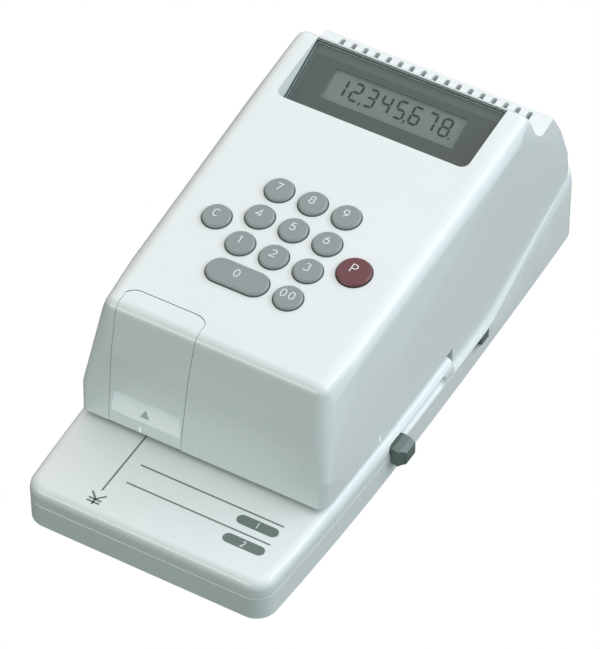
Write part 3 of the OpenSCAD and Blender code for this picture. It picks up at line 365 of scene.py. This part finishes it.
# %% [markdown]
# Films of ink. A band follows the two edges of a stroke, and a fill covers an outline. A single
# sheet of faces would look the same from above, but it is open and has no edge, so both are closed
# shells with a top, a bottom and walls.

# %% Bands and fills
INK_LIFT, INK_FILM = 0.02, 0.03


def add_band(verts, faces, place, edges, lift):
    """Adds a ribbon's closed band, from lift to lift plus the film, to verts and faces."""
    left, right, closed = edges
    base, n = len(verts), len(left)
    for h in (lift, lift + INK_FILM):
        for a, b in zip(left, right):
            verts.append(place @ Vector((a[0] * MM, a[1] * MM, h * MM)))
            verts.append(place @ Vector((b[0] * MM, b[1] * MM, h * MM)))
    top = base + 2 * n
    for i in range(n if closed else n - 1):
        j = (i + 1) % n
        a0, b0, a1, b1 = 2 * i, 2 * i + 1, 2 * j, 2 * j + 1
        faces.append((top + a0, top + b0, top + b1, top + a1))
        faces.append((base + a1, base + b1, base + b0, base + a0))
        faces.append((base + a0, top + a0, top + a1, base + a1))
        faces.append((base + b1, top + b1, top + b0, base + b0))
    if not closed:
        e = 2 * (n - 1)
        faces.append((base, base + 1, top + 1, top))
        faces.append((base + e + 1, base + e, top + e, top + e + 1))


def add_fill(verts, faces, place, outline, lift):
    """Adds a filled outline, from lift to lift plus the film, to verts and faces."""
    base, n = len(verts), len(outline)
    for h in (lift, lift + INK_FILM):
        for p in outline:
            verts.append(place @ Vector((p[0] * MM, p[1] * MM, h * MM)))
    faces.append(tuple(range(base + n, base + 2 * n)))
    faces.append(tuple(range(base + n - 1, base - 1, -1)))
    for i in range(n):
        j = (i + 1) % n
        faces.append((base + i, base + j, base + n + j, base + n + i))


print("film of ink", INK_FILM, "mm thick,", INK_LIFT, "mm over its face")

# %% [markdown]
# A piece of print holds the bands and fills of one mark, or of marks that belong together, in one
# mesh. It rides on the body that carries it, so that it moves with a key or a door.

# %% A piece of print
def print_piece(name, place, body, mat, strokes=(), width=0.0, fills=(), lift=INK_LIFT):
    """Strokes and filled outlines (mm) lying on a face, as one closed thin piece."""
    verts, faces = [], []
    for stroke in strokes:
        add_band(verts, faces, place, ribbon(stroke, width), lift)
    for outline in fills:
        add_fill(verts, faces, place, outline, lift)
    mesh = bpy.data.meshes.new(name)
    mesh.from_pydata([tuple(v) for v in verts], [], faces)
    mesh.materials.append(mat)
    obj = bpy.data.objects.new(name, mesh)
    bpy.context.collection.objects.link(obj)
    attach(obj, body)
    print("printed", name, "points", len(verts))


print("a piece of print takes strokes, fills or both")

# %% [markdown]
# Glyphs. A text object would bring a font along, whose outlines don't match the rounded, even
# strokes of a legend. These digits and letters are strokes in a box one unit high and one wide, with
# arcs for their bowls.

# %% Glyphs
LETTER_GAP = 0.2
GLYPHS = {
    "0": [arc(.5, .5, .36, .5, 0, 360, 28)],
    "1": [[(.28, .78), (.55, 1.0), (.55, 0)]],
    "2": [arc(.5, .72, .34, .28, 165, -40, 12) + [(.14, 0), (.86, 0)]],
    "3": [arc(.48, .76, .32, .24, 150, -80, 12), arc(.48, .27, .37, .28, 85, -155, 14)],
    "4": [[(.66, 0), (.66, 1), (.1, .28), (.9, .28)]],
    "5": [[(.8, 1), (.26, 1), (.2, .55)] + arc(.48, .32, .36, .32, 120, -150, 14)],
    "6": [[(.68, 1.0)] + arc(.62, .36, .48, .5, 135, 180, 5) + arc(.5, .31, .36, .31, 180, 540, 24)],
    "7": [[(.14, 1), (.86, 1), (.42, 0)]],
    "8": [arc(.5, .75, .3, .25, 0, 360, 24), arc(.5, .26, .37, .26, 0, 360, 24)],
    "9": [[(.32, 0)] + arc(.38, .64, .48, .5, -45, 0, 5) + arc(.5, .69, .36, .31, 0, 360, 24)],
    "C": [arc(.52, .5, .42, .5, 50, 310, 22)],
    "P": [[(.18, 0), (.18, 1), (.5, 1)] + arc(.52, .74, .34, .26, 90, -90, 12) + [(.18, .48)]],
}


def text_strokes(text, size, x, y, aspect):
    """Strokes of a short text, centred on x, y (mm)."""
    w = size * aspect
    total = len(text) * w + (len(text) - 1) * LETTER_GAP * size
    out = []
    for k, glyph in enumerate(text):
        x0 = x - total / 2 + k * (w + LETTER_GAP * size)
        for s in GLYPHS[glyph]:
            out.append([(x0 + px * w, y - size / 2 + py * size) for px, py in s])
    return out


print("glyphs", "".join(GLYPHS))

# %% [markdown]
# Legends on the keys. Each key carries its digit in white, and the two others a C to clear and a P
# to print. The keys stand on a grid of one pitch, so a key's place is a column and a row, and the
# legend sits a little up and to the left of the middle of its key. It lies on the key's top and
# rides on the key, so it goes down with it.

# %% Places of the keys
# Slope of the keypad, and its middle in the first row: behind the front, up and across
KEY_SLOPE, KEY_Y, KEY_Z, KEY_X = 6.3, 98.4, 93.2, -1.0
KEY_PITCH, KEY_RISE = 17.0, 1.6
ON_KEYS = face_frame(KEY_SLOPE, KEY_Y, KEY_Z)
KEY_AT = {"key_0": (-0.5, 0), "key_00": (1, 0), "key_1": (-1, 1), "key_2": (0, 1), "key_3": (1, 1),
          "key_4": (-1, 2), "key_5": (0, 2), "key_6": (1, 2), "key_7": (-1, 3), "key_8": (0, 3),
          "key_9": (1, 3), "key_clear": (-2, 1.5), "key_print": (2.08, 1.5)}
print("keys", len(KEY_AT), "at a pitch of", KEY_PITCH, "mm")

# %% Legends on the keys
LEGEND_H, PRINT_LEGEND_H, LEGEND_ASPECT, LEGEND_W = 3.9, 4.5, 0.86, 0.5
LEGEND_LEFT, LEGEND_UP, LEGEND_LIFT = 0.7, 1.1, KEY_RISE + 0.01
LEGEND = {"key_clear": "C", "key_print": "P"}
for key, (i, j) in KEY_AT.items():
    text = LEGEND.get(key, key[4:])
    size = PRINT_LEGEND_H if key == "key_print" else LEGEND_H
    strokes = text_strokes(text, size, KEY_X + i * KEY_PITCH - LEGEND_LEFT, j * KEY_PITCH + LEGEND_UP,
                           LEGEND_ASPECT)
    print_piece("legend_" + text, ON_KEYS, key, white_ink, strokes, LEGEND_W, lift=LEGEND_LIFT)
print("legends", len(KEY_AT))

# %% [markdown]
# Key wells. Each key sits in a close well, and the shade in the gap shows as a thin dark line around the
# key. A wider well would show it too, but the key would rattle in it. The gap in the solids is 0.35 mm, so a
# ring of painted shade 0.4 mm wide lies over most of it and ends just outside the edge of the opening.

# %% Painted shade in the key wells
KEY_D, PRINT_D = 13.2, 15.8
RING_CLEAR, WELL_W = 0.12, 0.4
wells = []
for key, (i, j) in KEY_AT.items():
    r = (PRINT_D if key == "key_print" else KEY_D) / 2 + RING_CLEAR + WELL_W / 2
    cx, cy = KEY_X + i * KEY_PITCH, j * KEY_PITCH
    if key == "key_0":
        reach = KEY_PITCH / 2
        loop = arc(cx + reach, cy, r, r, -90, 90, 24) + arc(cx - reach, cy, r, r, 90, 270, 24)
        wells.append(loop + loop[:1])
    else:
        wells.append(arc(cx, cy, r, r, -90, 90, 24) + arc(cx, cy, r, r, 90, 270, 24)[1:])
print_piece("key_well_painted_shade", ON_KEYS, "body", well_shade_ink, wells, WELL_W)
print("key wells", len(wells))

# %% [markdown]
# Marks on the table. It carries the printed alignment lines for two paper sizes, and an index line
# with the mark of a currency at its front end. All of them are strokes, so the ribbon does the work.

# %% Marks on the table
TABLE_Z = 25.5
ON_TABLE = face_frame(0, 0, TABLE_Z)
INDEX_X, ALIGN_X0, LINE_W = -29.0, -22.2, 0.8
table_lines = [[(INDEX_X, 52.0), (INDEX_X, 14.6)],
               [(ALIGN_X0, 35.75), (50.2, 35.75)], [(ALIGN_X0, 23.9), (50.3, 23.9)]]
print_piece("table_lines", ON_TABLE, "body", print_ink, table_lines, LINE_W)
CURRENCY_W = 0.9
currency = [[(-32.4, 12.5), (-28.8, 9.0), (-25.2, 12.5)], [(-28.8, 9.0), (-28.8, 5.5)],
            [(-32.0, 8.7), (-25.7, 8.7)], [(-32.0, 7.0), (-25.7, 7.0)]]
print_piece("currency_mark", ON_TABLE, "body", print_ink, currency, CURRENCY_W)
print("strokes on the table", len(table_lines) + len(currency))

# %% [markdown]
# Lozenges. Each alignment line has a bar with round ends beside it, which tells the two lines apart.
# A bar is an outline of two half circles, which is filled, and its number is a second film of ink
# that lies on the first.

# %% Lozenges on the table
def lozenge(x0, x1, y, h):
    """Outline of a bar with round ends."""
    r = h / 2
    return arc(x1 - r, y, r, r, -90, 90) + arc(x0 + r, y, r, r, 90, 270)


LOZENGE_H, LOZENGE_YS = 5.4, (30.6, 18.6)
NUMBER_X, NUMBER_H, NUMBER_ASPECT, NUMBER_W, NUMBER_LIFT = 40, 3, 0.62, 0.45, 0.06
lozenges = [lozenge(29.8, 50.3, LOZENGE_YS[0], LOZENGE_H), lozenge(29.9, 50.4, LOZENGE_YS[1], LOZENGE_H)]
print_piece("table_lozenges", ON_TABLE, "body", print_ink, fills=lozenges)
numbers = []
for digit, y in zip("12", LOZENGE_YS):
    numbers += text_strokes(digit, NUMBER_H, NUMBER_X, y, NUMBER_ASPECT)
print_piece("lozenge_marks", ON_TABLE, "body", white_ink, numbers, NUMBER_W, lift=NUMBER_LIFT)
print("lozenges", len(lozenges), "strokes in their numbers", len(numbers))

# %% [markdown]
# Label of the grip. The ink door has a finger grip that leans back, with a polished label and a small arrow
# on it. The label gives off a little light, which is painted reflection of the table. The slope of the grip
# could be typed in as an angle, but it is worked out from the grip's lower and upper edge, which a drawing
# gives. Both marks swing with the door.

# %% Label and arrow of the grip
HEAD_Y = 49.0
# The lower and the upper edge of the grip: behind the front, and up
GRIP_LOW, GRIP_HIGH = (HEAD_Y + 0.95, 35.0), (HEAD_Y + 5.0, 46.5)
GRIP_X0, GRIP_X1, GRIP_FOOT, GRIP_TOP_GAP, ARROW_LIFT = -46.0, -11.0, 0.1, 0.2, 0.07
grip_tilt = math.degrees(math.atan2(GRIP_HIGH[1] - GRIP_LOW[1], GRIP_HIGH[0] - GRIP_LOW[0]))
grip_len = math.hypot(GRIP_HIGH[0] - GRIP_LOW[0], GRIP_HIGH[1] - GRIP_LOW[1])
grip_top = grip_len - GRIP_TOP_GAP
label = [(GRIP_X0, GRIP_FOOT), (GRIP_X1, GRIP_FOOT), (GRIP_X1, grip_top), (GRIP_X0, grip_top)]
arrow = [(-31.5, 2.6), (-26.9, 2.6), (-29.2, 6.8)]
ON_GRIP = face_frame(grip_tilt, *GRIP_LOW)
# The label's light of its own is painted reflection of the table
print_piece("door_grip", ON_GRIP, "ink_door", grip_label_reflection_paint, fills=[label])
print_piece("door_arrow", ON_GRIP, "ink_door", mark_ink, fills=[arrow], lift=ARROW_LIFT)
print("grip tilt", round(grip_tilt, 1), "length", round(grip_len, 1))

# %% [markdown]
# Ticks. A white tick on the door's lip stands over the index line of the table. A small white glint on the
# right flank of the head is a painted glint, drawn as a second tick in the same glowing ink. The lip faces
# the front as the faces so far do. The flank faces right, so its frame is turned a quarter round first and
# then leant back.

# %% Tick on the door and painted glint on the flank
TICK_AND_GLINT_Z, TICK_AND_GLINT_W = 29.0, 0.8
LIP_TILT, LIP_SET_BACK, DOOR_TICK_X, DOOR_TICK_LIFT = 84.9, 0.37, -30.9, 0.05
ON_LIP = face_frame(LIP_TILT, HEAD_Y + LIP_SET_BACK, TICK_AND_GLINT_Z)
door_tick = [(DOOR_TICK_X, 0.1), (DOOR_TICK_X, 2.9)]
# The tick is printed; its glowing ink paints the highlight that it catches
print_piece("door_tick", ON_LIP, "ink_door", tick_ink_with_painted_highlight, [door_tick], TICK_AND_GLINT_W, lift=DOOR_TICK_LIFT)
FLANK_X, FLANK_GLINT_Y, FLANK_LEAN, QUARTER_TURN, FLANK_GLINT_LIFT = 59.72, 97.0, 88.5, 90, 0.03
ON_FLANK = Matrix.Translation((FLANK_X * MM, (FRONT_Y + FLANK_GLINT_Y) * MM, TICK_AND_GLINT_Z * MM))
ON_FLANK = ON_FLANK @ Matrix.Rotation(math.radians(QUARTER_TURN), 4, "Z")
ON_FLANK = ON_FLANK @ Matrix.Rotation(math.radians(FLANK_LEAN), 4, "X")
# This white mark on the flank is a painted glint, drawn as a tick in the glowing ink
flank_painted_glint = [(0, 0.3), (0, 3.4)]
print_piece("flank_painted_glint", ON_FLANK, "body", tick_ink_with_painted_highlight, [flank_painted_glint], TICK_AND_GLINT_W, lift=FLANK_GLINT_LIFT)
print("ticks at a height of", TICK_AND_GLINT_Z, "mm")

# %% [markdown]
# The display. It reads digits only, of up to seven bars each, and a bar has pointed ends so that two
# of them meet at a corner with a fine gap. The last digit is followed by a dot, and the dots that
# group the thousands have a short tail.

# %% Digits of the display
SEGMENTS = {"1": "bc", "2": "abged", "3": "abgcd", "4": "fgbc", "5": "afgcd", "6": "afgedc", "7": "abc",
            "8": "abcdefg"}
CORNER_GAP = 0.1


def digit_bars(x, y, w, h, digit, t):
    """Bars of one seven segment digit, as outlines; g is the gap at the mitred corners."""
    g = t * CORNER_GAP

    def level(yy):
        return [(x + g, yy), (x + g + t / 2, yy + t / 2), (x + w - g - t / 2, yy + t / 2),
                (x + w - g, yy), (x + w - g - t / 2, yy - t / 2), (x + g + t / 2, yy - t / 2)]

    def upright(xx, y0, y1):
        return [(xx, y0), (xx - t / 2, y0 + t / 2), (xx - t / 2, y1 - t / 2), (xx, y1),
                (xx + t / 2, y1 - t / 2), (xx + t / 2, y0 + t / 2)]

    m = y + h / 2
    bars = {"a": level(y + h), "g": level(m), "d": level(y),
            "f": upright(x, m + g, y + h - g), "e": upright(x, y + g, m - g),
            "b": upright(x + w, m + g, y + h - g), "c": upright(x + w, y + g, m - g)}
    return [bars[s] for s in SEGMENTS[digit]]


print("bars of an 8", len(digit_bars(0, 0, 4, 8, "8", 1)))

# %% [markdown]
# Digits in their place. The window hangs from the crest of the casing, and its outer face is the
# frame for all that lies under it: the display glass is a window's thickness and an air gap below.
# The bars lie on that glass, as the real ones lie in it, so they shift a little behind the window
# when the camera moves.

# %% Display
CREST_Y, CREST_Z, WINDOW_AHEAD, WINDOW_DROP = 236.0, 108.0, 0.5, 0.6
WINDOW_T, LCD_GAP, SEGMENT_LIFT = 2.0, 1.2, 0.02
ON_WINDOW = face_frame(WINDOW_TILT, CREST_Y - WINDOW_AHEAD, CREST_Z - WINDOW_DROP)
LCD_TOP = -WINDOW_T - LCD_GAP
DIGIT_X, DIGIT_Y, DIGIT_W, DIGIT_H, DIGIT_PITCH, BAR_T = -29.95, -20.85, 4.2, 8.7, 7.63, 1.2
DOT_GAP, DOT = 1.1, 1.0
SHOWN, DOT_AFTER, TAIL_AFTER = "12345678", "258", "25"
display = []
for k, digit in enumerate(SHOWN):
    display += digit_bars(DIGIT_X + k * DIGIT_PITCH, DIGIT_Y, DIGIT_W, DIGIT_H, digit, BAR_T)
    x, y = DIGIT_X + k * DIGIT_PITCH + DIGIT_W + DOT_GAP, DIGIT_Y
    if digit in DOT_AFTER:
        display.append([(x, y - 0.6), (x + DOT, y - 0.6), (x + DOT, y + 0.4), (x, y + 0.4)])
    if digit in TAIL_AFTER:
        display.append([(x, y - 1.6), (x + 0.5, y - 1.6), (x + DOT, y - 0.6), (x + 0.3, y - 0.6)])
print_piece("display_digits", ON_WINDOW, "body", segment_ink, fills=display, lift=LCD_TOP + SEGMENT_LIFT)
print("bars and dots", len(display))

# %% [markdown]
# The mask. A dark mask is printed at the back of the window. It hides the carrier and leaves a view of the
# display glass. A paler strip along its top and left is painted reflection: it stands for the white walls of
# the recess mirrored in the glossy window. Four plain boxes around the view make the mask, which is simpler
# than one outline with a hole in it.

# %% Printed mask of the window
MASK_X, MASK_Y = (-46.2, 48.2), (-40.2, -5.6)
VIEW_X, VIEW_Y = (-34.3, 33.8), (-25.4, -9.2)
REFLECTION_LEFT, REFLECTION_TOP = -48.2, -0.8
MASK_INSET = 0.08
MASK_LIFT = -WINDOW_T + MASK_INSET


def box_outline(x_range, y_range):
    """Corners of an upright box."""
    (x0, x1), (y0, y1) = x_range, y_range
    return [(x0, y0), (x1, y0), (x1, y1), (x0, y1)]


mask_parts = [box_outline(MASK_X, (VIEW_Y[1], MASK_Y[1])), box_outline(MASK_X, (MASK_Y[0], VIEW_Y[0])),
              box_outline((MASK_X[0], VIEW_X[0]), VIEW_Y), box_outline((VIEW_X[1], MASK_X[1]), VIEW_Y)]
print_piece("window_mask", ON_WINDOW, "body", mask_mat, fills=mask_parts, lift=MASK_LIFT)
# The paler strip along the top and left is painted reflection of the white recess walls
reflection_parts = [box_outline((REFLECTION_LEFT, MASK_X[1]), (MASK_Y[1], REFLECTION_TOP)),
              box_outline((REFLECTION_LEFT, MASK_X[0]), MASK_Y)]
print_piece("window_painted_reflection", ON_WINDOW, "body", window_reflection_paint, fills=reflection_parts, lift=MASK_LIFT)
print("view of the display", round(VIEW_X[1] - VIEW_X[0], 1), "x", round(VIEW_Y[1] - VIEW_Y[0], 1), "mm")

# %% [markdown]
# Camera. It stands at the front right, high up, with a long lens. It could be set by eye, but it was
# solved from the keys, the table lines, the vents and the window of the photograph, so that the
# render lies over it. Its lens was solved in pixels of the photograph's width and turns to
# millimetres by the width of the sensor.

# %% Camera
AZIMUTH, ELEVATION, ROLL = math.radians(30.407), math.radians(45.848), math.radians(-0.269)
EYE = Vector((0.70825, -1.2182, 1.4838))
FOCAL_PX, PHOTO_PX, SENSOR_MM = 4521.956, 600, 36
back = Vector((math.sin(AZIMUTH) * math.cos(ELEVATION), -math.cos(AZIMUTH) * math.cos(ELEVATION),
               math.sin(ELEVATION)))
right = Vector((0, 0, 1)).cross(back).normalized()
up = back.cross(right)
right_rolled = right * math.cos(ROLL) + up * math.sin(ROLL)
up_rolled = up * math.cos(ROLL) - right * math.sin(ROLL)
cam_data = bpy.data.cameras.new("camera")
cam_data.lens = FOCAL_PX / PHOTO_PX * SENSOR_MM
cam_data.sensor_width = SENSOR_MM
cam_data.sensor_fit = "HORIZONTAL"
cam_data.clip_start, cam_data.clip_end = 0.1, 20
cam = bpy.data.objects.new("camera", cam_data)
rows = [(right_rolled[k], up_rolled[k], back[k], EYE[k]) for k in range(3)]
cam.matrix_world = Matrix(rows + [(0, 0, 0, 1)])
bpy.context.collection.objects.link(cam)
bpy.context.scene.camera = cam
print("lens", round(cam_data.lens, 1), "mm, distance", round(EYE.length, 2), "m")

# %% [markdown]
# Sky. The photograph is a cut-out on plain white under broad, soft light: its top faces are near
# white, and its front and right side fall into grey. Many lamps could do that, but one sky does it
# with nodes alone: a base colour, plus an amount that grows upwards, to the back and to the right.
# Below the horizon it falls to a dark ground. Camera rays see plain white instead of this sky.

# %% Sky
SKY = (0.56, 0.63, 0.62)
SKY_TERMS = {"Z": (0.475, 0.39, 0.42), "Y": (0.295, 0.215, 0.235), "X": (0.13, 0.17, 0.21)}
GROUND, HORIZON = (0.095, 0.11, 0.095, 1), (-0.12, 0.05)
world = bpy.data.worlds.new("studio")
bpy.context.scene.world = world
world.use_nodes = True
t = world.node_tree
t.nodes.clear()
at = add(t, "ShaderNodeTexCoord")
direction = add(t, "ShaderNodeSeparateXYZ", {"Vector": (at, "Generated")})
total = None
for axis, amount in SKY_TERMS.items():
    term = add(t, "ShaderNodeVectorMath", {"Scale": (direction, axis)}, {0: amount}, operation="SCALE")
    links, values = {0: (term, "Vector")}, {1: SKY}
    if total is not None:
        links, values = {0: (term, "Vector"), 1: (total, "Vector")}, {}
    total = add(t, "ShaderNodeVectorMath", links, values, operation="ADD")
height = add(t, "ShaderNodeMapRange", {"Value": (direction, "Z")},
             {"From Min": HORIZON[0], "From Max": HORIZON[1]})
ground = add(t, "ShaderNodeMix", {"Factor": (height, "Result")}, data_type="RGBA")
below, above = [s for s in ground.inputs if s.type == "RGBA"]
below.default_value = GROUND
t.links.new(total.outputs["Vector"], above)
sky = add(t, "ShaderNodeBackground", values={"Strength": 1.0})
t.links.new(next(s for s in ground.outputs if s.type == "RGBA"), sky.inputs["Color"])
plain = add(t, "ShaderNodeBackground", values={"Color": (1, 1, 1, 1), "Strength": 1.0})
path = add(t, "ShaderNodeLightPath")
seen = add(t, "ShaderNodeMixShader", {"Fac": (path, "Is Camera Ray"), 1: (sky, "Background"),
                                      2: (plain, "Background")})
add(t, "ShaderNodeOutputWorld", {"Surface": (seen, "Shader")})
print("sky nodes", len(t.nodes))

# %% [markdown]
# Lamps. Two rectangles of light stand in for the soft boxes of a studio. The one behind and above
# on the right is slightly blue and models the right flank and the tops. The strip in front is kept
# out of diffuse light, so it only shows as a sheen.

# %% Lamps
LAMP_AIM = (0, 0, 0.05)


def panel(name, place, size, power, colour="#FFFFFF"):
    """A rectangle of light that looks at the object."""
    data = bpy.data.lights.new(name, "AREA")
    data.shape = "RECTANGLE"
    data.size, data.size_y = size
    data.energy = power
    data.color = linear(colour)[:3]
    lamp = bpy.data.objects.new(name, data)
    lamp.location = place
    lamp.rotation_euler = (Vector(LAMP_AIM) - Vector(place)).to_track_quat("-Z", "Y").to_euler()
    bpy.context.collection.objects.link(lamp)
    return lamp


front_strip = panel("front_strip", (-0.56, -1.36, 0.72), (1.5, 0.25), 9.4)
front_strip.visible_diffuse = False
side_panel = panel("side_panel", (1.15, 0.75, 0.95), (1.5, 0.35), 9.6, "#E4F2FF")
bpy.context.scene.view_settings.view_transform = "Standard"
print("lamps", round(front_strip.data.energy, 1), "and", round(side_panel.data.energy, 1), "W")
